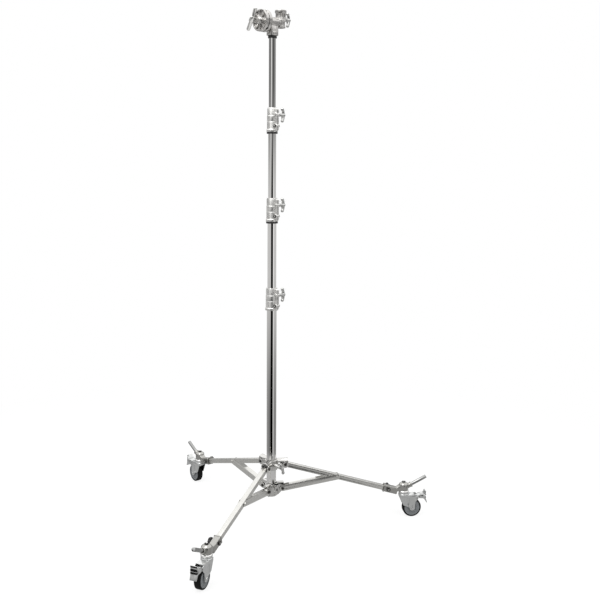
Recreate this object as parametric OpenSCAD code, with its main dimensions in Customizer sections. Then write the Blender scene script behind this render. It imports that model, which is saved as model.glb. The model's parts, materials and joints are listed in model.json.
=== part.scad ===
// Overhead stand: three telescopic risers on a folding three-legged base with braked casters,
// topped by a grip head and a pin receiver. Millimetres, +Z up.
// The origin is on the floor, on the axis of the column. Leg 1 points along +X.

/* [Column and risers] */
// Outer diameter of the column tube
column_d = 50; // [48:1:54]
// Wall of every round tube
tube_wall = 1.5; // [1.2:0.1:1.6]
// Height of the column collar's top edge above the floor
column_top = 1248; // [1200:1:1300]
// Length of riser 1 that shows between its collar and the column collar
riser_1_show = 339; // [200:1:400]
// Length of riser 2 that shows
riser_2_show = 330; // [200:1:400]
// Length of riser 3 that shows below the head
riser_3_show = 339; // [200:1:400]

/* [Base] */
// Radius from the column to each caster's swivel axis
base_r = 713; // [660:1:760]
// Height of the leg pivots in the sliding collar
leg_pivot_z = 318; // [312:1:326]
// Height of the strut pivots in the bottom hub
hub_pivot_z = 190; // [186:1:194]
// Width of the square leg tubes
leg_w = 25; // [24:1:26]
// Distance along a leg from its pivot to the strut's pivot
strut_reach = 287; // [270:1:300]

/* [Casters] */
// Wheel diameter
wheel_d = 100; // [92:1:100]
// Tyre width
wheel_w = 32; // [28:1:32]
// Distance from the swivel axis to the axle
trail = 44; // [40:1:46]

/* [Head] */
// Diameter of the two grip jaws
jaw_d = 107; // [102:1:110]
// Diameter of the pin that the receiver takes
pin_d = 28.6; // [28.2:0.1:29]
// Gap between the closed jaws
jaw_gap = 4; // [3:0.5:6]

/* [Hidden] */
$fn = 96;

// Fits
run_gap = 0.05;
seat_gap = 0.3;
slide_gap = 1;

// Risers: each one is thinner than the tube around it by two walls and two running gaps
riser_step = 2 * (tube_wall + slide_gap);
riser_d = [column_d, column_d - riser_step, column_d - 2 * riser_step, column_d - 3 * riser_step];
collar_h = [114, 119, 120];
shown = [riser_1_show, riser_2_show, riser_3_show];
collar_z0 = column_top - collar_h[0];
collar_z1 = column_top + shown[0];
collar_z2 = collar_z1 + collar_h[1] + shown[1];
collar_z = [collar_z0, collar_z1, collar_z2];
head_base_z = collar_z2 + collar_h[2] + shown[2];
tube_seat = 62;
neck_socket = 40;
foot_below_collar = [0, 729, 259, -186];
riser_foot = [for (drop = foot_below_collar) column_top - drop];
guide_h = 12;
guide_plug_h = 18;
seal_h = 9;

// Split collars with a wing knob above and a pinch bolt below
collar_wall = 6;
collar_flange = 2.5;
collar_flange_h = 14;
ear_az = -50;
ear_half = 11;
ear_reach = 18;
ear_boss_r = 10;
ear_boss_rise = 2;
slit_w = 2.5;
knob_drop = 36;
pinch_drop = 90;
stud_d = 8;
bolt_offset = 10.6;
collar_knob_rise = 38;

// Bolts and wing grips
hex_d = 15;
hex_h = 5;
grip_bow_r = 55;
grip_r = 7;
grip_half_angle = 32;
grip_web = 5;
grip_web_drop = 20;
grip_flange_r = grip_r + 3;

// Sliding base collar and its three hooded legs
base_collar_r = 32;
base_collar_z = [292, 345];
leg_pivot_r = 72;
hood_wall = 4;
hood_in = leg_w / 2 + 1;
hood_out = hood_in + hood_wall;
hood_end = 86;
hood_bead = 1.5;
hood_boss_r = 11;
hood_axis_z = leg_pivot_z + 14;
leg_end_z = 132;
leg_angle = atan((leg_pivot_z - leg_end_z) / (base_r - leg_pivot_r));
base_knob_az = 300;
base_knob_z = 320;
base_boss_r = 44;
base_knob_rise = 50;

// Bottom hub
hub_r = 34;
hub_z = [152, 215];
hub_floor = 5;
hub_rib = 6;
strut_pivot_r = 58;
tongue_w = leg_w - 3;
tongue_top = hub_pivot_z + 32;
level_az = 297;
level_r = 46;
level_z = 222;
set_screw_az = 325;
set_screw_z = 184;

// Struts: inverted channels that straddle the leg and the hub tongue
strut_wall = 1.5;
strut_in = leg_w / 2 + 1;
strut_out = strut_in + strut_wall;
joint_r = leg_pivot_r + strut_reach * cos(leg_angle);
joint_z = leg_pivot_z - strut_reach * sin(leg_angle);
strut_len = norm([joint_r - strut_pivot_r, joint_z - hub_pivot_z]);
strut_angle = atan((joint_z - hub_pivot_z) / (joint_r - strut_pivot_r));
strut_web_start = 38;
strut_web_cut = 112;

// Leg-end castings, measured along the leg from its pivot
leg_scale = 1 / cos(leg_angle);
sleeve_a = (base_r - 113 - leg_pivot_r) * leg_scale;
sleeve_b = (base_r - 38 - leg_pivot_r) * leg_scale;
sleeve_wy = leg_w / 2 + 4;
sleeve_wz = leg_w / 2 + 5;
leg_wall = 2;
tube_in_sleeve = 54;
lock_at = 26;
lock_hex_d = 23;
lock_hex_h = 7;
lock_side = [1, -1, -1];
mouth_t = 5;
mouth_rise = 2.5;
boss_r = 25;
boss_z = 145;
boss_h = 45;
boss_dome_r = 32;
boss_flat_z = 187;
gusset_w = 30;
gusset_z = [134, 158, 174];
nut_h = 7;
king_r = 5;
stem_r = 11;
handle_d = 18.5;
handle_tilt = 26.6;
handle_len = 122;
handle_root = [base_r + 12, 160];
lock_knob_r = 20;
lock_knob_h = 18;

// Casters
race_r = 27.5;
race_gap_z = 135;
pin_r = 6;
axle_r = 5;
fork_in = wheel_w / 2 + 3;
fork_wall = 3;
fork_out = fork_in + fork_wall;
fork_top = 121;
wheel_r = wheel_d / 2;
core_r = wheel_r - 8;
pedal_u = 69;
pedal_z = 107;
pedal_half = 21;

// Head, along an axis that points from the receiver to the T-handle
head_az = 216;
ring_h = 13;
head_z = head_base_z + 78;
neck_half = 25;
neck_wy = 21;
neck_h = 47;
neck_boss_r = 24.5;
washer_t = 3;
washer_r = 22.5;
jaw_t = 17;
jaw_hub = 18;
jaw_hub_r = 17;
jaw_hub_tip_r = 22;
jaw_root = neck_half + washer_t + seat_gap;
jaw_a = jaw_root + jaw_hub;
jaw_b = jaw_a + jaw_t + jaw_gap;
jaw_end = jaw_b + jaw_t;
groove_off = 34;
groove_deep = 6;
jaw_rib = 4;
jaw_rib_angle = 40;
dowel_r = 3;
dowel_out = 48;
dowel_angle = 62;
spindle_r = 6;
spindle_x = [-39, 112];
tee_at = 134;
tee_bore_end = 115;
tee_bar_r = 9;
tee_len = 122;
tee_tilt = -30;
receiver_x = -55;
receiver_boss = 31;
receiver_r = pin_d / 2 + 0.1;
receiver_z = [-23, 64];
receiver_knob_z = 21;
receiver_knob_rise = 24;
window_az = [60, 105, 255, 300];
window_w = 7;

// A rod along Z between two heights
module rod(r, z0, z1) {
    translate([0, 0, z0]) cylinder(r = r, h = z1 - z0);
}

// A rod along X between two places
module rod_x(r, x0, x1) {
    translate([x0, 0, 0]) rotate([0, 90, 0]) cylinder(r = r, h = x1 - x0);
}

// A rod along Y between two places
module rod_y(r, y0, y1) {
    translate([0, y1, 0]) rotate([90, 0, 0]) cylinder(r = r, h = y1 - y0);
}

module ring(r_out, r_in, z0, z1) {
    difference() {
        rod(r_out, z0, z1);
        rod(r_in, z0 - 1, z1 + 1);
    }
}

// A side profile in X and Z, given a thickness along Y
module slab(w) {
    rotate([90, 0, 0]) linear_extrude(w, center = true) children();
}

// A rectangle with round corners
module round_rect(x0, x1, y0, y1, r) {
    translate([x0 + r, y0]) square([x1 - x0 - 2 * r, y1 - y0]);
    translate([x0, y0 + r]) square([x1 - x0, y1 - y0 - 2 * r]);
    for (x = [x0 + r, x1 - r], y = [y0 + r, y1 - r]) translate([x, y]) circle(r);
}

// A hexagon bolt head or nut along Y, from one face outwards
module hex_y(y0, y1) {
    translate([0, max(y0, y1), 0]) rotate([90, 0, 0]) cylinder(d = hex_d, h = abs(y1 - y0), $fn = 6);
}

module at_leg(n) {
    rotate([0, 0, 120 * (n - 1)]) children();
}

// Along a leg: X runs outwards from the leg pivot
module along_leg(n) {
    at_leg(n) translate([leg_pivot_r, 0, leg_pivot_z]) rotate([0, leg_angle, 0]) children();
}

module along_strut(n) {
    at_leg(n) translate([strut_pivot_r, 0, hub_pivot_z]) rotate([0, -strut_angle, 0]) children();
}

module at_swivel(n) {
    at_leg(n) translate([base_r, 0, 0]) children();
}

module at_head() {
    translate([0, 0, head_z]) rotate([0, 0, head_az]) children();
}

// A cast wing grip on its screw: Z = 0 is the face that it tightens against
module wing_knob(screw_len, rise) {
    tip_x = grip_bow_r * sin(grip_half_angle);
    translate([0, 0, -screw_len]) cylinder(d = stud_d, h = screw_len + 4);
    rotate_extrude() polygon([[0, seat_gap], [grip_flange_r, seat_gap], [grip_flange_r, 4],
        [grip_r + 1, 6], [grip_r - 0.5, rise - 12], [grip_r + 2, rise - 4], [grip_r + 2, rise + 4],
        [grip_r - 1, rise + grip_r + 2], [0, rise + grip_r + 2]]);
    slab(grip_web) polygon([[-tip_x + 4, rise - 9], [0, rise - grip_web_drop], [tip_x - 4, rise - 9],
        [0, rise]]);
    translate([0, 0, rise - grip_bow_r]) {
        intersection() {
            rotate([90, 0, 0]) rotate_extrude() translate([grip_bow_r, 0]) circle(grip_r);
            translate([-tip_x, -grip_r - 1, 0]) cube([2 * tip_x, 2 * grip_r + 2, grip_bow_r + grip_r + 1]);
        }
        for (s = [-1, 1]) translate([s * tip_x, 0, grip_bow_r * cos(grip_half_angle)]) sphere(grip_r + 1);
    }
}

// A round tube of the telescopic column
module mast_tube(n, z0, z1) {
    ring(riser_d[n] / 2, riser_d[n] / 2 - tube_wall, z0, z1);
}

// A split collar fixed on the top of tube n, which grips the thinner tube that slides in it.
// Its wall is spot-faced for the knob's flange.
module split_collar(n) {
    d = riser_d[n];
    h = collar_h[n];
    r = d / 2 + collar_wall;
    bolt_x = d / 2 + bolt_offset;
    line_low = 0.42 * h;
    line_high = 0.66 * h;
    translate([0, 0, collar_z[n]]) {
        difference() {
            union() {
                rotate_extrude() polygon([[d / 2 - 5, 0], [r + collar_flange, 0],
                    [r + collar_flange, collar_flange_h - 3], [r, collar_flange_h],
                    [r, line_low - 1.5], [r - 1, line_low], [r, line_low + 1.5],
                    [r, line_high], [r - 1.2, line_high + 2], [r - 1.2, h - 8], [r - collar_flange, h - 3],
                    [r - collar_flange, h], [d / 2 - 5, h]]);
                rotate([0, 0, ear_az]) {
                    slab(2 * (ear_half - ear_boss_rise))
                        round_rect(d / 2 - 1, d / 2 + ear_reach, 5, h - 3, 9);
                    for (z = [h - knob_drop, h - pinch_drop]) translate([bolt_x, 0, z])
                        rod_y(ear_boss_r, -ear_half, ear_half);
                }
            }
            rod(d / 2 + run_gap, -1, tube_seat);
            rod(riser_d[n + 1] / 2 + run_gap, 0, h + 1);
            rotate([0, 0, ear_az]) {
                translate([0, -slit_w / 2, -1]) cube([d, slit_w, h + 2]);
                translate([bolt_x, 0, h - knob_drop]) {
                    rod_y(stud_d / 2 + run_gap, -20, 20);
                    rod_y(grip_flange_r + 1, ear_half, ear_half + 20);
                }
            }
        }
        rotate([0, 0, ear_az]) translate([bolt_x, 0, h - pinch_drop]) {
            rod_y(stud_d / 2 - 0.5, -ear_half, ear_half);
            hex_y(-ear_half, -ear_half - hex_h);
            hex_y(ear_half, ear_half + hex_h);
        }
    }
}

module collar_knob(n) {
    rotate([0, 0, ear_az])
        translate([riser_d[n] / 2 + bolt_offset, ear_half, collar_z[n] + collar_h[n] - knob_drop])
        rotate([-90, 0, 0]) rotate([0, 0, 90]) wing_knob(2 * ear_half + 2, collar_knob_rise);
}

// The plastic guide in the foot of a riser: a plug in the tube and a lip that runs in the tube outside
module end_guide(n) {
    lip_r = riser_d[n - 1] / 2 - tube_wall - run_gap;
    z = riser_foot[n];
    difference() {
        union() {
            rod(lip_r, z - guide_h, z);
            rod(riser_d[n] / 2 - tube_wall - run_gap, z, z + guide_plug_h);
        }
        rod(riser_d[n] / 2 - tube_wall - 4, z - guide_h - 1, z + guide_plug_h + 1);
    }
}

module seal_ring(n) {
    ring(riser_d[n] / 2 + collar_wall + 1.5, riser_d[n] / 2 + run_gap, collar_z[n] - seal_h, collar_z[n]);
}

module column_tube() {
    color("gainsboro") mast_tube(0, hub_z[0] + hub_floor, collar_z[0] + tube_seat);
}

// The sand-cast hub on the column's foot, with a tongue for each strut and a ledge for the level
module bottom_hub() {
    color("silver") difference() {
        union() {
            rotate_extrude() polygon([[0, hub_z[0]], [hub_r - 6, hub_z[0]], [hub_r, hub_z[0] + 6],
                [hub_r, hub_z[1] - 3], [hub_r - 3, hub_z[1]], [0, hub_z[1]]]);
            for (n = [1 : 3]) at_leg(n) slab(tongue_w) {
                round_rect(hub_r - 8, strut_pivot_r + 7, hub_pivot_z, tongue_top, 2);
                translate([hub_r - 8, hub_pivot_z - 15]) square([strut_pivot_r - hub_r + 8, 30]);
                translate([strut_pivot_r, hub_pivot_z]) circle(15);
            }
            for (n = [1 : 3]) at_leg(n) slab(hub_rib) polygon([[hub_r - 8, hub_z[0] + 1],
                [hub_r + 2, hub_z[0] + 1], [strut_pivot_r, hub_pivot_z - 14], [hub_r - 8, hub_pivot_z]]);
            for (n = [1 : 3]) rotate([0, 0, 60 + 120 * n]) slab(hub_rib)
                polygon([[hub_r - 8, hub_z[0] + 8], [hub_r + 3, hub_z[0] + 10], [hub_r + 3, hub_z[1] - 12],
                    [hub_r - 8, hub_z[1] - 4]]);
            rotate([0, 0, level_az]) {
                translate([level_r, 0, 0]) rod(14, level_z - 16, level_z);
                translate([0, -12, level_z - 16]) cube([level_r, 24, 16]);
            }
        }
        rod(column_d / 2 + run_gap, hub_z[0] + hub_floor, level_z + 1);
        rod(10, hub_z[0] - 1, hub_z[1]);
        for (n = [1 : 3]) at_leg(n) translate([strut_pivot_r, 0, hub_pivot_z])
            rod_y(stud_d / 2 + run_gap, -30, 30);
        rotate([0, 0, set_screw_az]) translate([0, 0, set_screw_z]) rod_x(stud_d / 2 + run_gap, 20, 40);
    }
}

module pivot_bolt(half) {
    rod_y(stud_d / 2, -half, half);
    hex_y(half, half + hex_h);
    hex_y(-half, -half - hex_h);
}

module hub_bolts() {
    color("dimgray") {
        for (n = [1 : 3]) at_leg(n) translate([strut_pivot_r, 0, hub_pivot_z])
            pivot_bolt(strut_out + seat_gap);
        rotate([0, 0, set_screw_az]) translate([0, 0, set_screw_z])
            rod_x(stud_d / 2, column_d / 2 + run_gap, hub_r + 2);
    }
}

module bubble_level() {
    rotate([0, 0, level_az]) translate([level_r, 0, 0]) {
        color("black") difference() {
            rod(12.5, level_z, level_z + 8);
            rod(8.5, level_z + 3, level_z + 9);
        }
        color("gold") rod(8.5 - run_gap, level_z + 3 + run_gap, level_z + 7);
    }
}

module column_collar() {
    color("silver") split_collar(0);
}

module column_knob() {
    color("lightgray") collar_knob(0);
}

// The sliding collar that opens and folds the legs
module base_collar() {
    color("silver") difference() {
        union() {
            rod(base_collar_r, base_collar_z[0], base_collar_z[1]);
            rod(base_collar_r + 2, base_collar_z[1] - 8, base_collar_z[1]);
            for (n = [1 : 3]) at_leg(n) {
                translate([0, 0, hood_axis_z]) rod_x(hood_out, 20, hood_end);
                slab(2 * hood_out) {
                    translate([20, leg_pivot_z - 12]) square([hood_end - 20, 12 + hood_axis_z - leg_pivot_z]);
                    translate([leg_pivot_r, leg_pivot_z]) circle(18);
                }
                translate([0, 0, hood_axis_z]) rod_x(hood_out + hood_bead, hood_end - 5, hood_end);
                slab(2 * (hood_out + hood_bead)) translate([hood_end - 5, leg_pivot_z + 6])
                    square([5, hood_axis_z - leg_pivot_z - 6]);
                translate([leg_pivot_r, 0, leg_pivot_z])
                    rod_y(hood_boss_r, -hood_out - hood_bead, hood_out + hood_bead);
            }
            rotate([0, 0, base_knob_az]) translate([0, 0, base_knob_z]) rod_x(11, 20, base_boss_r);
        }
        rod(column_d / 2 + run_gap, base_collar_z[0] - 1, base_collar_z[1] + 10);
        for (n = [1 : 3]) at_leg(n) {
            translate([0, 0, hood_axis_z]) rod_x(hood_in, base_collar_r + 4, hood_end + 10);
            translate([base_collar_r + 4, -hood_in, base_collar_z[0] - 20])
                cube([80, 2 * hood_in, hood_axis_z - base_collar_z[0] + 20]);
            translate([leg_pivot_r, 0, leg_pivot_z]) rod_y(stud_d / 2 + run_gap, -30, 30);
        }
        rotate([0, 0, base_knob_az]) translate([0, 0, base_knob_z]) rod_x(stud_d / 2 + run_gap, 10, 60);
    }
}

module collar_bolts() {
    color("dimgray") for (n = [1 : 3]) at_leg(n) translate([leg_pivot_r, 0, leg_pivot_z])
        pivot_bolt(hood_out + hood_bead);
}

module base_collar_knob() {
    color("lightgray") rotate([0, 0, base_knob_az]) translate([base_boss_r, 0, base_knob_z])
        rotate([0, 90, 0]) rotate([0, 0, 25])
        wing_knob(base_boss_r - column_d / 2 - seat_gap, base_knob_rise);
}

module riser_tube(n) {
    mast_tube(n, riser_foot[n], collar_z[n] + tube_seat);
}

module riser_1_tube() { color("gainsboro") riser_tube(1); }
module riser_2_tube() { color("gainsboro") riser_tube(2); }
module riser_3_tube() { color("gainsboro") mast_tube(3, riser_foot[3], head_base_z + neck_socket); }
module riser_1_guide() { color("black") end_guide(1); }
module riser_2_guide() { color("black") end_guide(2); }
module riser_3_guide() { color("black") end_guide(3); }
module riser_1_collar() { color("silver") split_collar(1); }
module riser_2_collar() { color("silver") split_collar(2); }
module riser_1_seal() { color("black") seal_ring(1); }
module riser_2_seal() { color("black") seal_ring(2); }
module riser_1_knob() { color("lightgray") collar_knob(1); }
module riser_2_knob() { color("lightgray") collar_knob(2); }

module head_ring() {
    color("black") ring(riser_d[3] / 2 + 4.5, riser_d[3] / 2 + run_gap,
        head_base_z, head_base_z + ring_h);
}

// The casting on top of riser 3 that carries the head's spindle
module head_neck() {
    color("silver") difference() {
        union() {
            translate([0, 0, head_base_z + ring_h]) rotate([0, 0, head_az]) linear_extrude(neck_h)
                round_rect(-neck_half, neck_half, -neck_wy, neck_wy, 9);
            translate([0, 0, head_base_z + ring_h]) rotate_extrude()
                polygon([[0, 0], [23, 0], [27, 5], [27, 14], [22, 20], [0, 20]]);
            at_head() rod_x(neck_boss_r, -neck_half, neck_half);
        }
        for (s = [-1, 1]) translate([0, 0, head_z]) rotate([0, 0, head_az]) translate([-12, s * neck_wy, -34])
            translate([0, -2, 0]) cube([24, 4, 16]);
        rod(riser_d[3] / 2 + run_gap, head_base_z, head_base_z + neck_socket);
        at_head() rod_x(spindle_r + run_gap, -neck_half - 1, neck_half + 1);
    }
}

module washer_x(x) {
    difference() {
        rod_x(washer_r, x, x + washer_t);
        rod_x(spindle_r + run_gap, x - 1, x + washer_t + 1);
    }
}

module friction_washers() {
    color("black") at_head() {
        washer_x(neck_half);
        washer_x(-neck_half - washer_t);
    }
}

module head_spindle() {
    color("dimgray") at_head() rod_x(spindle_r, spindle_x[0], spindle_x[1]);
}

// One grip jaw: V grooves on the face that grips, pockets and ribs on the other
module jaw(x, side) {
    difference() {
        rod_x(jaw_d / 2, x, x + jaw_t);
        rod_x(spindle_r + run_gap, x - 1, x + jaw_t + 1);
        for (s = [-1, 1]) translate([side > 0 ? x : x + jaw_t, s * groove_off, -jaw_d])
            rotate([0, 0, 45]) translate([-groove_deep / sqrt(2), -groove_deep / sqrt(2), 0])
            cube([groove_deep * sqrt(2), groove_deep * sqrt(2), 2 * jaw_d]);
        translate([side > 0 ? x + jaw_t - 7 : x - 1, 0, 0]) for (a = [0, 180]) rotate([a, 0, 0])
            intersection() {
                difference() {
                    rod_x(jaw_d / 2 - 7, 0, 8);
                    rod_x(20, -1, 9);
                    for (b = [-jaw_rib_angle, 0, jaw_rib_angle]) rotate([b, 0, 0])
                        translate([-1, -jaw_rib / 2, 0]) cube([10, jaw_rib, jaw_d]);
                }
                translate([0, -jaw_d, 9]) cube([8, 2 * jaw_d, jaw_d]);
            }
        for (s = [-1, 1]) rotate([s * dowel_angle, 0, 0]) translate([0, dowel_out, 0])
            rod_x(dowel_r, x - 1, x + jaw_t + 1);
    }
}

// The inner jaw stands off the neck on a hub with webs out to the plate
module inner_jaw() {
    color("gray") at_head() {
        jaw(jaw_a, -1);
        difference() {
            union() {
                rod_x(jaw_hub_r, jaw_root, jaw_a + 1);
                for (a = [0 : 30 : 330]) rotate([a, 0, 0]) slab(jaw_rib) polygon([[jaw_root, jaw_hub_r - 4],
                    [jaw_root, jaw_hub_tip_r], [jaw_a + 1, jaw_d / 2 - 4], [jaw_a + 1, jaw_hub_r - 4]]);
            }
            rod_x(spindle_r + run_gap, jaw_root - 1, jaw_a + 2);
        }
    }
}

module outer_jaw() {
    color("gray") at_head() jaw(jaw_b, 1);
}

// The long T-handle that closes the jaws
module tee_handle() {
    color("silver") at_head() {
        difference() {
            union() {
                rod_x(17, jaw_end + seat_gap, jaw_end + 5);
                rod_x(14, jaw_end + 4, jaw_end + 12);
                rod_x(11.5, jaw_end + 11, tee_at);
            }
            rod_x(spindle_r + run_gap, jaw_end, tee_bore_end);
        }
        translate([tee_at, 0, 0]) rotate([tee_tilt, 0, 0]) {
            rod(tee_bar_r, -tee_len / 2 + tee_bar_r, tee_len / 2 - tee_bar_r);
            rod(tee_bar_r + 3, -13, 13);
            for (s = [-1, 1]) translate([0, 0, s * (tee_len / 2 - tee_bar_r)]) sphere(tee_bar_r);
        }
    }
}

// The receiver for a baby-grip boom's pin, with a flange at its mouth
module receiver() {
    color("silver") at_head() difference() {
        union() {
            translate([receiver_x, 0, 0]) rotate_extrude() polygon([[0, receiver_z[0]], [23, receiver_z[0]],
                [24, receiver_z[0] + 1], [24, -17], [22, -15], [22, 6], [25.5, 9], [26.5, 9.5], [26.5, 12],
                [25.5, 12.5], [25.5, 49], [29, 51], [29, 61], [27, receiver_z[1]], [0, receiver_z[1]]]);
            rod_x(19, receiver_x, -neck_half - washer_t - seat_gap);
            translate([0, 0, receiver_knob_z]) rod_x(10, receiver_x - receiver_boss, receiver_x);
        }
        translate([receiver_x, 0, 0]) {
            rod(receiver_r, receiver_z[0] - 1, receiver_z[1] + 1);
            for (a = window_az) rotate([0, 0, a]) translate([receiver_r - 2, -window_w / 2, 30])
                cube([20, window_w, 15]);
        }
        rod_x(spindle_r + run_gap, spindle_x[0] - 0.6, 0);
        translate([0, 0, receiver_knob_z]) rod_x(stud_d / 2 + run_gap, receiver_x - 40, receiver_x - 5);
    }
}

module receiver_knob() {
    color("lightgray") at_head() translate([receiver_x - receiver_boss, 0, receiver_knob_z])
        rotate([0, -90, 0]) wing_knob(receiver_boss - receiver_r - seat_gap, receiver_knob_rise);
}

module leg_tube(n) {
    color("silver") along_leg(n) difference() {
        union() {
            translate([-11, -leg_w / 2, -leg_w / 2]) cube([sleeve_a + tube_in_sleeve + 11, leg_w, leg_w]);
        }
        translate([-12, -leg_w / 2 + leg_wall, -leg_w / 2 + leg_wall])
            cube([sleeve_a + tube_in_sleeve + 20, leg_w - 2 * leg_wall, leg_w - 2 * leg_wall]);
        rod_y(stud_d / 2 + run_gap, -20, 20);
        translate([sleeve_a + lock_at, 0, 0]) rod_y(stud_d / 2 + run_gap, -20, 20);
    }
}

// The die-cast leg end: sleeve for the leg tube, boss for the caster, socket for the push handle
module leg_casting(n) {
    color("silver") {
        difference() {
            union() {
                along_leg(n) translate([sleeve_a, 0, 0]) rotate([0, 90, 0])
                    linear_extrude(sleeve_b - sleeve_a)
                    round_rect(-sleeve_wz, sleeve_wz, -sleeve_wy, sleeve_wy, 4);
                along_leg(n) translate([sleeve_a, 0, 0]) rotate([0, 90, 0]) linear_extrude(mouth_t)
                    round_rect(-sleeve_wz - mouth_rise, sleeve_wz + mouth_rise,
                        -sleeve_wy - mouth_rise, sleeve_wy + mouth_rise, 5);
                at_leg(n) slab(gusset_w) polygon([[base_r - 52, gusset_z[0]], [base_r - 46, gusset_z[1]],
                    [base_r - 20, gusset_z[2]], [base_r, gusset_z[2]],
                    [base_r, boss_z], [base_r - 30, boss_z]]);
                at_swivel(n) translate([0, 0, boss_z]) rotate_extrude() intersection() {
                    square([boss_r, boss_h]);
                    translate([0, boss_h - boss_dome_r]) circle(boss_dome_r);
                }
                at_handle(n) rod_x(13, 0, 30);
                at_handle(n) rod_x(14.5, 28, 34);
            }
            along_leg(n) translate([sleeve_a - 1, -leg_w / 2 - 0.1, -leg_w / 2 - 0.1])
                cube([tube_in_sleeve + 1, leg_w + 0.2, leg_w + 0.2]);
            at_swivel(n) {
                rod(stem_r + run_gap, boss_z - 1, boss_z + 35);
                rod(king_r + run_gap, boss_z + 34, boss_z + boss_h + 1);
                rod(11, boss_flat_z, boss_z + boss_h + 1);
                translate([0, -1.5, boss_z - 1]) cube([boss_r + 20, 3, 17]);
            }
            at_handle(n) rod_x(handle_d / 2 + run_gap, 16, 40);
        }
        at_lock(n) {
            rod_y(stud_d / 2, -sleeve_wy, sleeve_wy + lock_knob_h - 4);
            translate([0, -sleeve_wy, 0]) rotate([90, 0, 0])
                cylinder(d = lock_hex_d, h = lock_hex_h, $fn = 6);
        }
    }
}

// The cross bolt that locks a leg tube: its knob is on the far side of leg 1,
// and on the near side of the others
module at_lock(n) {
    along_leg(n) translate([sleeve_a + lock_at, 0, 0]) rotate([90 - 90 * lock_side[n - 1], 0, 0]) children();
}

module at_handle(n) {
    at_leg(n) translate([handle_root[0], 0, handle_root[1]]) rotate([0, -handle_tilt, 0]) children();
}

module leg_handle(n) {
    color("lightgray") at_handle(n) difference() {
        rod_x(handle_d / 2, 16, handle_len);
        rod_x(handle_d / 2 - tube_wall, 15, handle_len - 3);
    }
}

// The star knob that locks the leg tube in its casting
module leg_knob(n) {
    color("darkslategray") at_lock(n) translate([0, sleeve_wy + seat_gap, 0]) difference() {
        union() {
            rod_y(lock_knob_r - 8, 0, 5);
            rotate([-90, 0, 0]) rotate_extrude() polygon([[0, 4], [lock_knob_r - 2, 4], [lock_knob_r, 6],
                [lock_knob_r, lock_knob_h - 3], [lock_knob_r - 3, lock_knob_h], [0, lock_knob_h]]);
        }
        rod_y(stud_d / 2 + run_gap, -1, lock_knob_h - 3);
        for (a = [0 : 60 : 300]) rotate([0, a, 0]) translate([lock_knob_r + 3, 0, 0])
            rod_y(7, 2, lock_knob_h + 1);
    }
}

module strut(n) {
    color("silver") along_strut(n) {
        difference() {
            slab(2 * strut_out) {
                translate([0, -strut_out]) square([strut_len, 2 * strut_out]);
                for (x = [0, strut_len]) translate([x, 0]) circle(strut_out);
            }
            translate([-30, -strut_in, -30]) cube([strut_len + 60, 2 * strut_in, 30 + strut_in]);
            translate([-30, -strut_in, 0]) cube([30 + strut_web_start, 2 * strut_in, 30]);
            translate([strut_len - strut_web_cut, -strut_in, 0]) cube([strut_web_cut + 30, 2 * strut_in, 30]);
            rod_y(stud_d / 2 + run_gap, -20, 20);
        }
        for (s = [-1, 1]) translate([strut_len, 0, 0]) rotate([0, 0, 90 - 90 * s])
            hex_y(strut_out - 0.5, strut_out + hex_h);
    }
}

// A caster's fixed part: spigot, upper race and kingpin
module caster_stem(n) {
    color("lightgray") at_swivel(n) {
        rod(stem_r, boss_z - 4, boss_z + 33);
        rod(king_r, boss_z + 30, boss_flat_z + nut_h + 2);
        translate([0, 0, boss_flat_z]) cylinder(d = 17, h = nut_h, $fn = 6);
        rotate_extrude() polygon([[0, race_gap_z + seat_gap], [race_r, race_gap_z + seat_gap],
            [race_r, boss_z - 4], [race_r - 3, boss_z - 0.2], [0, boss_z - 0.2]]);
        rod(pin_r, 106, race_gap_z + 1);
        rod(9, 103, fork_top - 8 - seat_gap);
    }
}

module fork_side() {
    polygon([[-race_r + 3, fork_top], [-race_r + 5, fork_top - 14], [-4, 66], [trail - 15, wheel_r + 2],
        [trail, wheel_r - 12], [trail + 14, wheel_r], [trail + 16, wheel_r + 30], [pedal_u + 8, pedal_z - 8],
        [pedal_u + 9, pedal_z + 6], [pedal_u, fork_top]]);
    translate([trail, wheel_r]) circle(15);
}

// The pressed fork, its lower race and its axle
module caster_fork(n) {
    color("silver") at_swivel(n) {
        difference() {
            union() {
                for (s = [-1, 1]) translate([0, s * (fork_in + fork_out) / 2, 0])
                    slab(fork_wall) fork_side();
                translate([0, 0, fork_top - 8]) linear_extrude(8) {
                    circle(race_r);
                    translate([0, -fork_out]) square([46, 2 * fork_out]);
                }
                rotate_extrude() polygon([[0, fork_top - 8], [race_r, fork_top - 8],
                    [race_r, fork_top + 4], [race_r - 2, fork_top + 6], [race_r - 2, race_gap_z - 4],
                    [race_r, race_gap_z - 3], [race_r, race_gap_z], [0, race_gap_z]]);
                slab(2 * fork_out) polygon([[44, fork_top - 8], [44, fork_top], [pedal_u - 13, fork_top],
                    [pedal_u - 11, fork_top - 3], [pedal_u - 13, fork_top - 5]]);
            }
            rod(pin_r + run_gap, 90, race_gap_z + 1);
            for (s = [-1, 1]) translate([0, s * fork_out, 0]) slab(3) round_rect(14, 27, 62, 106, 5);
            translate([pedal_u, 0, pedal_z]) rod_y(3 + run_gap, -40, 40);
        }
        translate([trail, 0, wheel_r]) {
            rod_y(axle_r, -fork_out, fork_out);
            hex_y(fork_out - 0.5, fork_out + hex_h);
            hex_y(-fork_out + 0.5, -fork_out - hex_h);
        }
    }
}

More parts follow.
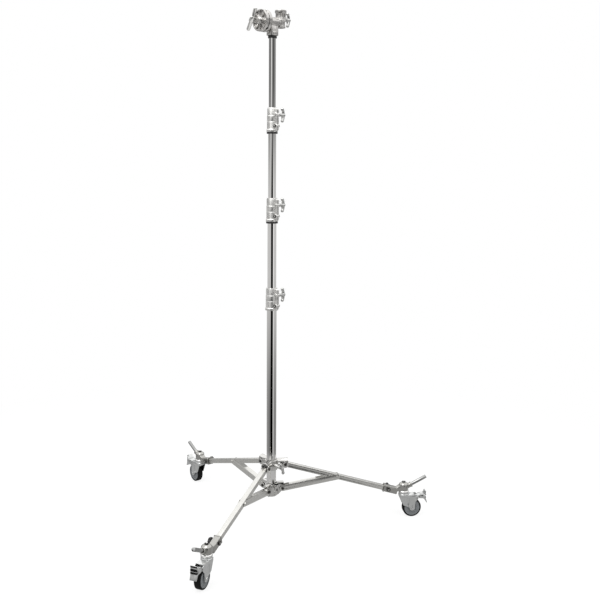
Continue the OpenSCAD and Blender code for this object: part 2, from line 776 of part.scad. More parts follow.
module caster_wheel(n) {
    half = wheel_w / 2;
    color("gray") at_swivel(n) translate([trail, 0, wheel_r]) rotate([90, 0, 0]) rotate_extrude()
        polygon([[axle_r + run_gap, -half - 1.5], [11, -half - 1.5], [13, -half + 4], [22, -half + 4],
            [24, -half + 1], [29, -half + 1], [31, -half + 3], [core_r - 3, -half + 3], [core_r, -half + 1],
            [core_r, half - 1], [core_r - 3, half - 3], [31, half - 3], [29, half - 1], [24, half - 1],
            [22, half - 4], [13, half - 4], [11, half + 1.5], [axle_r + run_gap, half + 1.5]]);
}

module caster_tyre(n) {
    color("black") at_swivel(n) translate([trail, 0, wheel_r]) rotate([90, 0, 0]) rotate_extrude()
        difference() {
            round_rect(0, wheel_r, -wheel_w / 2, wheel_w / 2, 5);
            translate([-1, -wheel_w]) square([core_r + run_gap + 1, 2 * wheel_w]);
        }
}

// The rocking brake pedal on its pin, with a ribbed toe above and a bright plate below
module caster_pedal(n) {
    color("gainsboro") at_swivel(n) {
        translate([pedal_u, 0, pedal_z]) {
            rod_y(3, -fork_out - 1, fork_out + 1);
            rod_y(6, -fork_in + seat_gap, fork_in - seat_gap);
        }
        slab(2 * pedal_half - 8) polygon([[pedal_u - 2, pedal_z + 6], [pedal_u + 8, pedal_z + 9],
            [pedal_u + 30, pedal_z + 12], [pedal_u + 40, pedal_z + 12], [pedal_u + 47, pedal_z + 31],
            [pedal_u + 50, pedal_z + 31], [pedal_u + 48, pedal_z + 9], [pedal_u + 43, pedal_z + 8],
            [pedal_u + 43, pedal_z + 5], [pedal_u + 49, pedal_z + 4], [pedal_u + 49, pedal_z + 1],
            [pedal_u + 43, pedal_z], [pedal_u + 43, pedal_z - 3], [pedal_u + 49, pedal_z - 4],
            [pedal_u + 50, pedal_z - 8], [pedal_u + 58, pedal_z - 33], [pedal_u + 55, pedal_z - 34],
            [pedal_u + 40, pedal_z - 11], [pedal_u + 12, pedal_z - 4], [pedal_u + 2, pedal_z - 6]]);
        for (s = [-1, 1]) translate([0, s * (pedal_half - 2), 0]) slab(4)
            polygon([[pedal_u + 14, pedal_z - 6],
            [pedal_u + 14, pedal_z + 12], [pedal_u + 44, pedal_z + 14], [pedal_u + 46, pedal_z - 8]]);
    }
}

module leg_1_tube() { leg_tube(1); }
module leg_2_tube() { leg_tube(2); }
module leg_3_tube() { leg_tube(3); }
module leg_1_casting() { leg_casting(1); }
module leg_2_casting() { leg_casting(2); }
module leg_3_casting() { leg_casting(3); }
module leg_1_handle() { leg_handle(1); }
module leg_2_handle() { leg_handle(2); }
module leg_3_handle() { leg_handle(3); }
module leg_1_knob() { leg_knob(1); }
module leg_2_knob() { leg_knob(2); }
module leg_3_knob() { leg_knob(3); }
module strut_1() { strut(1); }
module strut_2() { strut(2); }
module strut_3() { strut(3); }
module caster_1_stem() { caster_stem(1); }
module caster_2_stem() { caster_stem(2); }
module caster_3_stem() { caster_stem(3); }
module caster_1_fork() { caster_fork(1); }
module caster_2_fork() { caster_fork(2); }
module caster_3_fork() { caster_fork(3); }
module caster_1_wheel() { caster_wheel(1); }
module caster_2_wheel() { caster_wheel(2); }
module caster_3_wheel() { caster_wheel(3); }
module caster_1_tyre() { caster_tyre(1); }
module caster_2_tyre() { caster_tyre(2); }
module caster_3_tyre() { caster_tyre(3); }
module caster_1_pedal() { caster_pedal(1); }
module caster_2_pedal() { caster_pedal(2); }
module caster_3_pedal() { caster_pedal(3); }

column_tube();
bottom_hub();
hub_bolts();
bubble_level();
column_collar();
column_knob();
base_collar();
collar_bolts();
base_collar_knob();
riser_1_tube();
riser_1_guide();
riser_1_collar();
riser_1_seal();
riser_1_knob();
riser_2_tube();
riser_2_guide();
riser_2_collar();
riser_2_seal();
riser_2_knob();
riser_3_tube();
riser_3_guide();
head_ring();
head_neck();
friction_washers();
head_spindle();
inner_jaw();
outer_jaw();
tee_handle();
receiver();
receiver_knob();
leg_1_tube();
leg_1_casting();
leg_1_handle();
leg_1_knob();
strut_1();
leg_2_tube();
leg_2_casting();
leg_2_handle();
leg_2_knob();
strut_2();
leg_3_tube();
leg_3_casting();
leg_3_handle();
leg_3_knob();
strut_3();
caster_1_stem();
caster_1_fork();
caster_1_wheel();
caster_1_tyre();
caster_1_pedal();
caster_2_stem();
caster_2_fork();
caster_2_wheel();
caster_2_tyre();
caster_2_pedal();
caster_3_stem();
caster_3_fork();
caster_3_wheel();
caster_3_tyre();
caster_3_pedal();
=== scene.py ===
# Overhead stand: a rolling stand with three chromed risers, a folding base on casters and a grip head.
import json
import math

import bpy
from mathutils import Matrix, Quaternion, Vector

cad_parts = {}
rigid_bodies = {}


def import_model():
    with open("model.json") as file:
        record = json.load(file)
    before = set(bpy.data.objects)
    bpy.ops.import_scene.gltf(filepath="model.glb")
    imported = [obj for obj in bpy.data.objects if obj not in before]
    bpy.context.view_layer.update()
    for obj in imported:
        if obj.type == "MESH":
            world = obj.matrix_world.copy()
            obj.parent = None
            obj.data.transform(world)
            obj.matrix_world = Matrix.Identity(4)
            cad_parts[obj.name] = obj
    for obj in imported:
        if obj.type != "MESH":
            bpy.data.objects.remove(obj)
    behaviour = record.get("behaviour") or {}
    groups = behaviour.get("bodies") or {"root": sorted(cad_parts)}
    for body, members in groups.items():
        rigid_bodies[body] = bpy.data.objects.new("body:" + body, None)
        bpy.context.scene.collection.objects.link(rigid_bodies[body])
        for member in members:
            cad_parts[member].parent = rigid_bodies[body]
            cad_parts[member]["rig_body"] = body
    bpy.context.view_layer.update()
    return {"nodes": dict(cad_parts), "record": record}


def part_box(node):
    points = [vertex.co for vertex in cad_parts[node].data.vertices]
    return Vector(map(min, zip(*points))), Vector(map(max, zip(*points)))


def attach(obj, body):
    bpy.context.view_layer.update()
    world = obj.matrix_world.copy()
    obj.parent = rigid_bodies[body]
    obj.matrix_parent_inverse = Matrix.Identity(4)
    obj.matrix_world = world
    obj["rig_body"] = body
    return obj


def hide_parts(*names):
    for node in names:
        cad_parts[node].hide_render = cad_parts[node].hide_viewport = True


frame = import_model()

# Camera: on a tripod at eye height about four and a half metres away, looking slightly down.
# Its lens is a short telephoto, and it leans by a third of a degree.
picture_px = 600
lens_px = 853.0
sensor_mm = 36
shift_px = -45
camera_at = Vector((-0.4617, -4.2886, 1.885))
camera_turn = math.radians(8.044)
camera_down = math.radians(6.19)
camera_lean = math.radians(0.353)
look = Vector((math.sin(camera_turn) * math.cos(camera_down),
               math.cos(camera_turn) * math.cos(camera_down), -math.sin(camera_down)))
lens = bpy.data.cameras.new("camera")
lens.sensor_width = sensor_mm
lens.lens = sensor_mm * lens_px / picture_px
lens.shift_y = shift_px / picture_px
camera = bpy.data.objects.new("camera", lens)
bpy.context.scene.collection.objects.link(camera)
camera.location = camera_at
camera.rotation_euler = (look.to_track_quat("-Z", "Y") @ Quaternion((0, 0, 1), camera_lean)).to_euler()
bpy.context.scene.camera = camera
bpy.context.scene.view_settings.view_transform = "Standard"


# Studio: a white cove with a bright ceiling. The mirror-bright tubes show what stands around the camera:
# a black curtain, a white panel right of it and paler walls, darker towards the floor and above eye level.
# Each entry is an angle round the stand from the camera, in degrees towards the right, and a grey.
def add(tree, kind, inputs=None, **settings):
    """Adds one node with its settings; an input is a value or another node's output."""
    made = tree.nodes.new(kind)
    for name, value in settings.items():
        setattr(made, name, value)
    for name, value in (inputs or {}).items():
        if isinstance(value, bpy.types.NodeSocket):
            tree.links.new(value, made.inputs[name])
        else:
            made.inputs[name].default_value = value
    return made


low_walls = [(-180, 0.34), (-125, 0.33), (-86, 0.26), (-57, 0.21), (-31, 0.13), (-21, 0.0), (27, 0.0),
             (30, 0.62), (52, 0.54), (58, 0.25), (100, 0.26), (180, 0.34)]
mid_walls = [(-180, 0.62), (-106, 0.62), (-39, 0.60), (-24, 0.57), (-21, 0.0), (29, 0.0), (32, 0.92),
             (54, 0.86), (62, 0.60), (180, 0.62)]
high_walls = [(-180, 0.40), (-117, 0.24), (-69, 0.12), (-50, 0.14), (-44, 0.84), (-24, 0.80), (-14, 0.34),
              (18, 0.22), (24, 0.05), (48, 0.09), (60, 0.20), (90, 0.24), (124, 0.40), (180, 0.40)]
world = bpy.data.worlds.new("studio")
bpy.context.scene.world = world
world.use_nodes = True
sky = world.node_tree
sky.nodes.clear()
direction = add(sky, "ShaderNodeTexCoord")
facing = add(sky, "ShaderNodeMapping", {"Vector": direction.outputs["Generated"],
                                        "Rotation": (0, 0, -math.atan2(camera_at.y, camera_at.x))})
compass = add(sky, "ShaderNodeTexGradient", {"Vector": facing.outputs["Vector"]}, gradient_type="RADIAL")
height = add(sky, "ShaderNodeSeparateXYZ", {"Vector": direction.outputs["Generated"]})


def painted_wall(greys):
    """One band of the cove, painted grey by the angle round the stand."""
    wall = add(sky, "ShaderNodeValToRGB", {"Fac": compass.outputs["Fac"]})
    stops = wall.color_ramp.elements
    while len(stops) < len(greys):
        stops.new(0.5)
    for stop, (angle, grey) in zip(stops, greys):
        stop.position = 0.5 + angle / 360
        stop.color = (grey, grey, grey, 1)
    return wall.outputs["Color"]


def change_over(lower, upper, start, end):
    """Goes from one band to the next between two heights, each the sine of an angle above the horizon."""
    share = add(sky, "ShaderNodeMapRange", {"Value": height.outputs["Z"], "From Min": start, "From Max": end},
                interpolation_type="SMOOTHSTEP")
    return add(sky, "ShaderNodeMix", {0: share.outputs["Result"], 6: lower, 7: upper},
               data_type="RGBA").outputs[2]


ceiling = (1.3, 1.3, 1.3, 1)
ground = (0.75, 0.75, 0.75, 1)
cove = change_over(painted_wall(low_walls), painted_wall(mid_walls), -0.30, -0.12)
cove = change_over(cove, painted_wall(high_walls), -0.06, 0.10)
cove = change_over(cove, ceiling, 0.18, 0.42)
cove = change_over(ground, cove, -0.62, -0.38)
room = add(sky, "ShaderNodeBackground", {"Color": cove, "Strength": 1.0})
backdrop = add(sky, "ShaderNodeBackground", {"Color": (1, 1, 1, 1), "Strength": 1.0})
rays = add(sky, "ShaderNodeLightPath")
seen = add(sky, "ShaderNodeMixShader", {0: rays.outputs["Is Camera Ray"], 1: room.outputs[0],
                                        2: backdrop.outputs[0]})
add(sky, "ShaderNodeOutputWorld", {"Surface": seen.outputs[0]})

for name, place, target, width, tall, watts in (
        ("top_box", (-1.2, -1.4, 4.6), (0, 0, 0.8), 2.4, 2.4, 55),
        ("left_box", (-3.4, -1.8, 1.8), (0, 0, 1.2), 1.6, 2.6, 30),
        ("right_box", (2.6, -2.6, 2.2), (0, 0, 1.2), 0.8, 3.0, 26)):
    light = bpy.data.lights.new(name, "AREA")
    light.shape = "RECTANGLE"
    light.size, light.size_y, light.energy = width, tall, watts
    lamp = bpy.data.objects.new(name, light)
    lamp.location = place
    lamp.rotation_euler = (Vector(target) - Vector(place)).to_track_quat("-Z", "Y").to_euler()
    lamp.visible_glossy = name == "top_box"
    bpy.context.scene.collection.objects.link(lamp)


# Floor: white paper. The camera sees it as white as the cove, with a faint soft shadow left on it.
# The low metal parts mirror the paper near them; further off, a reflection shows the cove instead.
def srgb(code):
    """A colour written as in a paint chart, made linear for the shader."""
    parts = [int(code[i:i + 2], 16) / 255 for i in (1, 3, 5)]
    return [c / 12.92 if c <= 0.04045 else ((c + 0.055) / 1.055) ** 2.4 for c in parts] + [1]


near_paper = 0.95
paper_fade = (1.0, 3.0)
shadow_share = 0.82
paper_edge = 0.2
paper_glow = 0.5
bpy.ops.object.select_all(action="DESELECT")
bpy.ops.mesh.primitive_plane_add(size=24)
floor = bpy.context.object
floor.name = "paper_floor"
paper = bpy.data.materials.new("white_seamless_paper")
paper.use_nodes = True
sheet = paper.node_tree
sheet.nodes.clear()
kind = add(sheet, "ShaderNodeLightPath")
spot = add(sheet, "ShaderNodeTexCoord")
away = add(sheet, "ShaderNodeVectorMath", {0: spot.outputs["Object"]}, operation="LENGTH")
fade = add(sheet, "ShaderNodeMapRange", {"Value": away.outputs["Value"], "From Min": paper_fade[0],
                                         "From Max": paper_fade[1], "To Min": shadow_share, "To Max": 1.0},
           interpolation_type="SMOOTHSTEP")
share = add(sheet, "ShaderNodeMath", {0: kind.outputs["Is Camera Ray"], 1: fade.outputs["Result"]},
            operation="MULTIPLY")
matt = add(sheet, "ShaderNodeBsdfDiffuse", {"Color": srgb("#F0F0F0"), "Roughness": 0.4})
bright = add(sheet, "ShaderNodeEmission", {"Color": (1, 1, 1, 1), "Strength": 1.0})
paper_mix = add(sheet, "ShaderNodeMixShader", {0: share.outputs[0], 1: matt.outputs[0], 2: bright.outputs[0]})
beyond = add(sheet, "ShaderNodeMapRange", {"Value": away.outputs["Value"], "From Min": near_paper,
                                           "From Max": near_paper + paper_edge})
mirrored = add(sheet, "ShaderNodeMath", {0: kind.outputs["Is Glossy Ray"], 1: beyond.outputs["Result"]},
               operation="MULTIPLY")
glow = add(sheet, "ShaderNodeEmission", {"Color": (1, 1, 1, 1), "Strength": paper_glow})
paper_look = add(sheet, "ShaderNodeMixShader", {0: kind.outputs["Is Glossy Ray"], 1: paper_mix.outputs[0],
                                                2: glow.outputs[0]})
gap = add(sheet, "ShaderNodeBsdfTransparent")
paper_end = add(sheet, "ShaderNodeMixShader", {0: mirrored.outputs[0], 1: paper_look.outputs[0],
                                               2: gap.outputs[0]})
add(sheet, "ShaderNodeOutputMaterial", {"Surface": paper_end.outputs[0]})
floor.data.materials.append(paper)

# Column: seamless steel tube, drawn, polished and chrome plated, and pressed into the bottom hub. It mirrors
# the room, with faint lengthwise draw lines under the plate.
# The grain of real metal is about a tenth of a millimetre wide; it is drawn 0.8 to 3 mm wide, to show.
nodes = frame["nodes"]
# Painted shade: the near-black colour and the 12 mm reach of the darkening that the metals below paint into
# their corners.
corner_shade_colour = "#262626"
corner_shade_reach = 0.012
cloud_scale = 24.0
smooth_angle = math.radians(35)
bevel_angle = math.radians(30)
flat_angle = math.radians(1)
weld_gap = 0.00001


def metal(name, code, roughness, spread, grain_mm, depth_mm, stretch=(1, 1, 1), tint=0.05, corner_shade=0.0):
    """A metal surface: an even colour that changes tone slowly at random, a fine grain, and shade painted
    dark into its corners.
    """
    material = bpy.data.materials.new(name)
    material.use_nodes = True
    tree = material.node_tree
    shader = tree.nodes["Principled BSDF"]
    shader.inputs["Metallic"].default_value = 1.0
    place = add(tree, "ShaderNodeTexCoord")
    lay = add(tree, "ShaderNodeMapping", {"Vector": place.outputs["Object"], "Scale": stretch})
    grain = add(tree, "ShaderNodeTexNoise", {"Vector": lay.outputs["Vector"], "Scale": 1000 / grain_mm,
                                             "Detail": 3.0, "Roughness": 0.6})
    cloud = add(tree, "ShaderNodeTexNoise", {"Vector": place.outputs["Object"], "Scale": cloud_scale,
                                             "Detail": 3.0})
    light_tone = srgb(code)
    dark_tone = [c * (1 - 2 * tint) for c in light_tone[:3]] + [1]
    tone = add(tree, "ShaderNodeMapRange", {"Value": cloud.outputs["Fac"], "From Min": 0.3, "From Max": 0.7})
    colour = add(tree, "ShaderNodeMix", {0: tone.outputs["Result"], 6: dark_tone, 7: light_tone},
                 data_type="RGBA")
    surface = colour.outputs[2]
    # Painted shade: where an ambient occlusion test finds surfaces close by, the colour is darkened towards a
    # near black.
    if corner_shade:
        corner = add(tree, "ShaderNodeAmbientOcclusion", {"Distance": corner_shade_reach}, samples=6)
        painted_shade = add(tree, "ShaderNodeMapRange", {"Value": corner.outputs["AO"], "From Min": 0.25,
                                                "From Max": 0.85, "To Min": corner_shade, "To Max": 0.0})
        shaded_colour = add(tree, "ShaderNodeMix", {0: painted_shade.outputs["Result"], 6: surface, 7: srgb(corner_shade_colour)},
                     data_type="RGBA")
        surface = shaded_colour.outputs[2]
    tree.links.new(surface, shader.inputs["Base Color"])
    patch = add(tree, "ShaderNodeMath", {0: grain.outputs["Fac"], 1: cloud.outputs["Fac"]}, operation="ADD")
    rough = add(tree, "ShaderNodeMapRange", {"Value": patch.outputs[0], "From Min": 0.6, "From Max": 1.4,
                                             "To Min": roughness - spread, "To Max": roughness + spread})
    tree.links.new(rough.outputs["Result"], shader.inputs["Roughness"])
    bump = add(tree, "ShaderNodeBump", {"Height": grain.outputs["Fac"], "Distance": depth_mm / 1000,
                                        "Strength": 0.5})
    tree.links.new(bump.outputs["Normal"], shader.inputs["Normal"])
    return material


def finish(name, material, edge_mm, clamp=False):
    """Copies a solid of the frame, joins its triangles into faces, rounds its edges and coats it."""
    solid = nodes[name]
    piece = bpy.data.objects.new(name + "_finished", solid.data.copy())
    bpy.context.scene.collection.objects.link(piece)
    piece.data.materials.clear()
    piece.data.materials.append(material)
    bpy.ops.object.select_all(action="DESELECT")
    piece.select_set(True)
    bpy.context.view_layer.objects.active = piece
    bpy.ops.object.mode_set(mode="EDIT")
    bpy.ops.mesh.select_all(action="SELECT")
    bpy.ops.mesh.remove_doubles(threshold=weld_gap)
    bpy.ops.mesh.dissolve_limited(angle_limit=flat_angle)
    bpy.ops.object.mode_set(mode="OBJECT")
    if edge_mm:
        rounding = piece.modifiers.new("edge", "BEVEL")
        rounding.width = edge_mm / 1000
        rounding.segments = 2
        rounding.limit_method = "ANGLE"
        rounding.angle_limit = bevel_angle
        rounding.use_clamp_overlap = clamp
        bpy.ops.object.modifier_apply(modifier="edge")
    bpy.ops.object.shade_smooth_by_angle(angle=smooth_angle)
    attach(piece, solid["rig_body"])
    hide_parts(name)


chrome = metal("polished_chrome_plate", "#EFEEEC", 0.04, 0.01, 3.0, 0.0001, (1, 1, 0.01), 0.01)
finish("column_tube", chrome, 0)

# Bottom hub: sand-cast aluminium, machined in its bore and tumbled, with the column standing in it and a
# tongue for each strut. Its skin keeps the fine pits of the sand.
# Shade is painted dark into the corners and hollows of the hub and the base collar.
casting = metal("tumbled_cast_aluminium", "#D6D5D2", 0.15, 0.04, 1.5, 0.002, tint=0.03, corner_shade=0.9)
finish("bottom_hub", casting, 1.0)

# Pivot bolts: hexagon bolts and lock nuts that the struts and legs turn on, through the ears of the hub and
# of the base collar. They are turned steel in dark zinc plate, which looks smoky grey.
dark_zinc = metal("dark_zinc_plate", "#4B4A48", 0.34, 0.06, 0.8, 0.01)
for name in ("hub_bolts", "collar_bolts"):
    finish(name, dark_zinc, 0.5)


# Bull's-eye level: a moulded black housing pressed on the hub's ledge, with a clear domed vial glued in it.
# It shows when the column stands upright.
def plain(name, code, roughness, grain_mm, depth_mm, tint=0.1, ior=1.5):
    """A moulded plastic or rubber with the fine matt skin of its mould."""
    material = bpy.data.materials.new(name)
    material.use_nodes = True
    tree = material.node_tree
    shader = tree.nodes["Principled BSDF"]
    shader.inputs["IOR"].default_value = ior
    place = add(tree, "ShaderNodeTexCoord")
    grain = add(tree, "ShaderNodeTexNoise", {"Vector": place.outputs["Object"], "Scale": 1000 / grain_mm,
                                             "Detail": 3.0})
    light_tone = srgb(code)
    dark_tone = [c * (1 - 2 * tint) for c in light_tone[:3]] + [1]
    colour = add(tree, "ShaderNodeMix", {0: grain.outputs["Fac"], 6: dark_tone, 7: light_tone},
                 data_type="RGBA")
    tree.links.new(colour.outputs[2], shader.inputs["Base Color"])
    rough = add(tree, "ShaderNodeMapRange", {"Value": grain.outputs["Fac"], "To Min": roughness - 0.08,
                                             "To Max": roughness + 0.08})
    tree.links.new(rough.outputs["Result"], shader.inputs["Roughness"])
    bump = add(tree, "ShaderNodeBump", {"Height": grain.outputs["Fac"], "Distance": depth_mm / 1000,
                                        "Strength": 0.5})
    tree.links.new(bump.outputs["Normal"], shader.inputs["Normal"])
    return material


# Nylon from a textured mould keeps a soft sheen on a nearly black ground.
black_nylon = plain("moulded_black_nylon", "#1C1C1C", 0.42, 0.6, 0.02)
low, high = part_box("bubble_level")
level_at = (low + high) / 2
level_r = (high.x - low.x) / 2
vial_r = 0.0084
dome_rise = 0.35
rim_in = 0.0006
dome_sunk = 0.0002
vial_gap = 0.0003
vial_at = Vector((level_at.x, level_at.y, high.z - dome_sunk - vial_r * dome_rise))


def start_piece(name):
    """Names the primitive just added, puts its place into its mesh and opens it for modelling."""
    piece = bpy.context.object
    piece.name = name
    bpy.ops.object.transform_apply(location=True, rotation=True, scale=True)
    bpy.ops.object.mode_set(mode="EDIT")
    bpy.ops.mesh.select_mode(type="FACE")
    bpy.ops.mesh.select_all(action="DESELECT")
    bpy.ops.object.mode_set(mode="OBJECT")
    return piece


def pick(piece, test):
    """Selects the faces whose middle and normal pass the test, ready for an edit operator."""
    bpy.ops.object.mode_set(mode="OBJECT")
    for face in piece.data.polygons:
        face.select = test(face.center, face.normal)
    bpy.ops.object.mode_set(mode="EDIT")


def close_piece(piece, body, material):
    """Leaves edit mode, shades the piece, coats it and fixes it to its body."""
    bpy.ops.object.mode_set(mode="OBJECT")
    bpy.ops.object.shade_smooth_by_angle(angle=smooth_angle)
    piece.data.materials.clear()
    piece.data.materials.append(material)
    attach(piece, body)


bpy.ops.object.select_all(action="DESELECT")
bpy.ops.mesh.primitive_cylinder_add(vertices=64, radius=level_r, depth=high.z - low.z, location=level_at)
housing = start_piece("level_housing")
pick(housing, lambda middle, normal: normal.z > 0.9)
bpy.ops.mesh.bevel(offset=rim_in, segments=3)
pick(housing, lambda middle, normal: normal.z > 0.99 and (middle - level_at).xy.length < 0.001)
bpy.ops.mesh.inset(thickness=level_r - rim_in - vial_r - vial_gap)
bpy.ops.mesh.extrude_region_move(TRANSFORM_OT_translate={"value": (0, 0, vial_at.z - high.z)})
close_piece(housing, "column", black_nylon)
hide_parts("bubble_level")

# The vial is moulded clear acrylic over pale spirit: glossy and milky, a ring in its dome and one bubble.
bubble_r = 0.0026
bubble_off = Vector((0.0012, -0.0008, 0.0018))
ring_r = 0.0042
ring_wire = 0.00025
ring_rise = 0.82
spirit = bpy.data.materials.new("clear_acrylic_vial")
spirit.use_nodes = True
tree = spirit.node_tree
shader = tree.nodes["Principled BSDF"]
shader.inputs["Roughness"].default_value = 0.04
shader.inputs["IOR"].default_value = 1.49
shader.inputs["Transmission Weight"].default_value = 0.35
place = add(tree, "ShaderNodeTexCoord")
swirl = add(tree, "ShaderNodeTexNoise", {"Vector": place.outputs["Object"], "Scale": 180.0, "Detail": 1.0})
tint = add(tree, "ShaderNodeMix", {0: swirl.outputs["Fac"], 6: srgb("#D9DCCB"), 7: srgb("#ECEEE2")},
           data_type="RGBA")
tree.links.new(tint.outputs[2], shader.inputs["Base Color"])
bubble_skin = plain("bright_bubble", "#F7F8F0", 0.12, 0.8, 0.002, 0.02)
for name, radius, place_at, squash, material in (
        ("level_vial", vial_r, vial_at, dome_rise, spirit),
        ("level_bubble", bubble_r, vial_at + bubble_off, 0.4, bubble_skin)):
    bpy.ops.object.select_all(action="DESELECT")
    bpy.ops.mesh.primitive_uv_sphere_add(segments=40, ring_count=20, radius=radius, location=place_at,
                                         scale=(1, 1, squash))
    dome = start_piece(name)
    pick(dome, lambda middle, normal: True)
    bpy.ops.mesh.bisect(plane_co=place_at, plane_no=(0, 0, 1), clear_inner=True, use_fill=True)
    close_piece(dome, "column", material)
bpy.ops.object.select_all(action="DESELECT")
bpy.ops.mesh.primitive_torus_add(major_radius=ring_r, minor_radius=ring_wire, major_segments=48,
                                 minor_segments=8,
                                 location=vial_at + Vector((0, 0, vial_r * dome_rise * ring_rise)))
ring = start_piece("level_ring")
close_piece(ring, "column", black_nylon)

# Struts: steel channels folded from sheet, in satin chrome. They straddle the hub tongue and the leg, and
# turn on a bolt at each end.
# Chrome over blasted steel scatters what it mirrors into broad soft tones.
# Shade is painted lightly into the corners of the struts and legs.
satin_chrome = metal("satin_chrome_steel", "#DCDBD7", 0.28, 0.04, 1.2, 0.001, tint=0.03, corner_shade=0.4)
for n in (1, 2, 3):
    finish("strut_%d" % n, satin_chrome, 0.5)

# Base collar: the casting that slides on the column, with a hood over the top of each leg. It is cast and
# tumbled like the hub, and its wing knob clamps it on the column.
finish("base_collar", casting, 0.8)
# The knobs are cast and barrelled, bright on their ribs, and shade is painted dark into their hollows.
knob_metal = metal("satin_cast_knob", "#D2D2D0", 0.20, 0.05, 1.2, 0.002, tint=0.03, corner_shade=0.85)
finish("base_collar_knob", knob_metal, 0.8)

# Legs: drawn square steel tube with rounded corners, in the same satin chrome as the struts. Each hangs on
# its bolt under a hood of the base collar.
for n in (1, 2, 3):
    finish("leg_%d_tube" % n, satin_chrome, 1.5)

# Risers: chromed tubes like the column, each with a black nylon guide in its foot, and a split collar
# cast like the hub on its top, with a black seal ring under it.
for n in (1, 2, 3):
    finish("riser_%d_tube" % n, chrome, 0)
    finish("riser_%d_guide" % n, black_nylon, 0.5)
# The collars are polished after casting, so they are the palest of the castings.
# Shade is painted into the corners of the collars.
collar_metal = metal("polished_cast_collar", "#F6F5F2", 0.33, 0.05, 1.5, 0.001, tint=0.02, corner_shade=0.6)
for name in ("column", "riser_1", "riser_2"):
    finish(name + "_collar", collar_metal, 0.8)
    finish(name + "_knob", knob_metal, 0.8)
for name in ("riser_1_seal", "riser_2_seal", "head_ring"):
    finish(name, black_nylon, 0.6)

# Pinch bolts: a hexagon head and its nut close the foot of each split collar on its tube. They are steel in
# dark zinc plate, and stand a hair proud of the plain hexagons of the casting. One is modelled and copied.
chamfer_share = 0.16
dish_share = 0.14
dish_depth = 0.12


def hexagon(wide, tall):
    """One head or nut standing on the origin, a corner along Y, with a chamfer and a shallow dish."""
    bpy.ops.object.select_all(action="DESELECT")
    bpy.ops.mesh.primitive_cylinder_add(vertices=6, radius=wide / 2, depth=tall, location=(0, 0, tall / 2))
    head = start_piece("hexagon")
    pick(head, lambda at, normal: normal.z > 0.9)
    bpy.ops.mesh.bevel(offset=tall * chamfer_share, segments=2)
    pick(head, lambda at, normal: normal.z > 0.99 and at.z > tall * 0.95)
    bpy.ops.mesh.inset(thickness=wide * dish_share)
    bpy.ops.mesh.extrude_region_move(TRANSFORM_OT_translate={"value": (0, 0, -tall * dish_depth)})
    bpy.ops.object.mode_set(mode="OBJECT")
    bpy.ops.object.shade_smooth_by_angle(angle=smooth_angle)
    head.data.materials.clear()
    head.data.materials.append(dark_zinc)
    model = head.data.copy()
    bpy.data.objects.remove(head)
    return model


def fit_hexagon(name, model, foot, corner, axis, body):
    """Copies a hexagon onto its foot, standing along axis with one corner towards corner."""
    turn = Matrix((corner.cross(axis), corner, axis)).transposed().to_4x4()
    piece = bpy.data.objects.new(name, model.copy())
    bpy.context.scene.collection.objects.link(piece)
    piece.data.transform(Matrix.Translation(foot) @ turn)
    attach(piece, body)


ear_turn = math.radians(-50)
ear_side = Vector((math.cos(ear_turn), math.sin(ear_turn), 0))
bolt_way = Vector((-math.sin(ear_turn), math.cos(ear_turn), 0))
ear_half = 0.011
bolt_out = 0.0106
bolt_drop = 0.090
pinch_hexagon = hexagon(0.0156, 0.0052)
for body in ("column", "riser_1", "riser_2"):
    low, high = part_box(body + "_tube")
    tube_r = (high.x - low.x) / 2
    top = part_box(body + "_collar")[1].z
    bolt_at = ear_side * (tube_r + bolt_out) + Vector((0, 0, top - bolt_drop))
    for side, kind in ((-1, "head"), (1, "nut")):
        fit_hexagon("%s_pinch_bolt_%s" % (body, kind), pinch_hexagon, bolt_at + bolt_way * side * ear_half,
                    ear_side, bolt_way * side, body)

# Leg ends: die castings with a square socket for the leg and a domed boss for the caster. The push handle is
# bright steel bar screwed into the boss, and a moulded black star knob clamps the socket on the leg.
# The handles are drawn bar, greyer than chrome and with its sheen.
# Shade is painted lightly into the corners of the handles.
handle_metal = metal("bright_drawn_steel", "#A9A9A8", 0.16, 0.04, 1.5, 0.001, tint=0.03, corner_shade=0.5)
# The leg ends stay as they come from the mould, a duller grey, with shade painted darkest into their corners.
end_metal = metal("dull_cast_aluminium", "#B5B4B0", 0.19, 0.05, 1.5, 0.002, tint=0.04, corner_shade=0.95)
for n in (1, 2, 3):
    finish("leg_%d_casting" % n, end_metal, 1.0)
    finish("leg_%d_handle" % n, handle_metal, 1.5)
    finish("leg_%d_knob" % n, black_nylon, 0.8)

# Lock bolts and kingpin nuts: a dark hexagon head across each leg end, opposite the star knob, and the nut
# that holds the caster's kingpin on top of the boss.
joint_at = {joint["name"]: joint.get("pos_m") for joint in frame["record"]["behaviour"]["joints"]}
lock_hexagon = hexagon(0.0236, 0.0073)
sleeve_half = 0.0165
nut_low, nut_high = 0.1868, 0.1943
nut_hexagon = hexagon(0.0178, nut_high - nut_low)
for n, side in ((1, -1), (2, 1), (3, 1)):
    turn = math.radians(120 * (n - 1))
    out = Vector((math.cos(turn), math.sin(turn), 0))
    across = Vector((-math.sin(turn), math.cos(turn), 0)) * side
    pivot = Vector(joint_at["leg_%d_fold" % n])
    lock = Vector(joint_at["leg_%d_knob_turn" % n])
    fit_hexagon("leg_%d_lock_bolt" % n, lock_hexagon, lock + across * sleeve_half,
                (lock - pivot).normalized(), across, "leg_%d" % n)
    swivel = Vector(joint_at["caster_%d_swivel" % n])
    fit_hexagon("leg_%d_kingpin_nut" % n, nut_hexagon, Vector((swivel.x, swivel.y, nut_low)), out,
                Vector((0, 0, 1)), "leg_%d" % n)

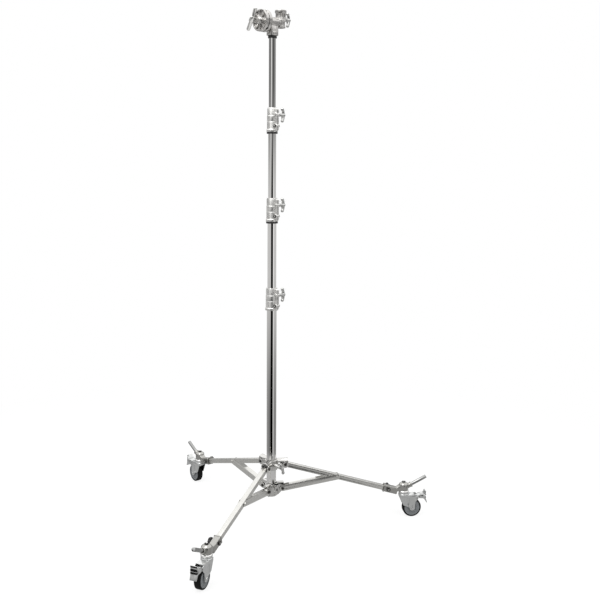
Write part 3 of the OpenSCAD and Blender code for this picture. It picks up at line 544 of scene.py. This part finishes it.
# Casters: pressed steel fork and brake pedal in bright zinc plate under a polished race, which the kingpin
# holds to the leg end. The wheel is a grey moulded core with a black rubber tyre bonded round it.
# Bright zinc looks like paler, softer chrome.
# Shade is painted into the corners of the forks and pedals.
zinc = metal("bright_zinc_plate", "#DADBDA", 0.20, 0.05, 1.5, 0.002, tint=0.04, corner_shade=0.8)
# The core is moulded grey plastic, and the tyre is dull rubber; its low IOR keeps the pale room off it.
wheel_grey = plain("grey_moulded_core", "#6E7173", 0.5, 0.8, 0.03)
rubber = plain("black_tyre_rubber", "#0B0B0B", 0.62, 0.8, 0.05, ior=1.25)
for n in (1, 2, 3):
    for part, material, edge in (("stem", chrome, 0.6), ("fork", zinc, 0.6), ("pedal", zinc, 0.6),
                                 ("wheel", wheel_grey, 0.6), ("tyre", rubber, 0)):
        finish("caster_%d_%s" % (n, part), material, edge)

# Pedal grips: three black rubber ribs glued across the toe of each brake pedal, where the foot presses it.
# One rib is modelled on the first pedal and repeated up the toe, and turned round the stand for the others.
rib_half = 0.0165
rib_back, rib_face = 0.0475, 0.0515
rib_tall = 0.0070
rib_pitch = 0.0150
rib_foot = -0.0070
rib_round = 0.0012
rib_at = Vector(joint_at["pedal_1_press"]) + Vector(((rib_back + rib_face) / 2, 0, rib_foot + rib_tall / 2))
bpy.ops.object.select_all(action="DESELECT")
bpy.ops.mesh.primitive_cube_add(size=1, location=rib_at, scale=(rib_face - rib_back, 2 * rib_half, rib_tall))
grip = start_piece("pedal_1_grip")
pick(grip, lambda at, normal: normal.x > 0.9)
bpy.ops.mesh.bevel(offset=rib_round, segments=3)
bpy.ops.object.mode_set(mode="OBJECT")
row = grip.modifiers.new("row", "ARRAY")
row.count = 3
row.use_relative_offset = False
row.use_constant_offset = True
row.constant_offset_displace = (0, 0, rib_pitch)
bpy.ops.object.modifier_apply(modifier="row")
close_piece(grip, "pedal_1", rubber)
for n in (2, 3):
    twin = bpy.data.objects.new("pedal_%d_grip" % n, grip.data.copy())
    bpy.context.scene.collection.objects.link(twin)
    twin.data.transform(Matrix.Rotation(math.radians(120 * (n - 1)), 4, "Z"))
    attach(twin, "pedal_%d" % n)

# Grip head: the cast neck sits on the top riser and carries two jaws and the pin receiver on one steel
# spindle, with black friction washers between them. The polished T-handle is screwed on the spindle's end.
# The T-handle is cast and polished. The other castings of the head have the fine matt skin of their moulds.
# Shade is painted into the corners of the T-handle and of the head castings.
bright_metal = metal("polished_cast_bar", "#F2F1EE", 0.14, 0.04, 1.5, 0.001, tint=0.02, corner_shade=0.7)
head_metal = metal("dark_cast_aluminium", "#CBC9C6", 0.30, 0.05, 1.5, 0.001, tint=0.04, corner_shade=0.7)
finish("head_neck", head_metal, 0.8, clamp=True)
finish("friction_washers", black_nylon, 0.3)
finish("inner_jaw", head_metal, 0.8)
finish("outer_jaw", head_metal, 0.8)
finish("head_spindle", dark_zinc, 0.5)
finish("tee_handle", bright_metal, 1.0)
finish("receiver", head_metal, 0.8, clamp=True)
finish("receiver_knob", knob_metal, 0.8)
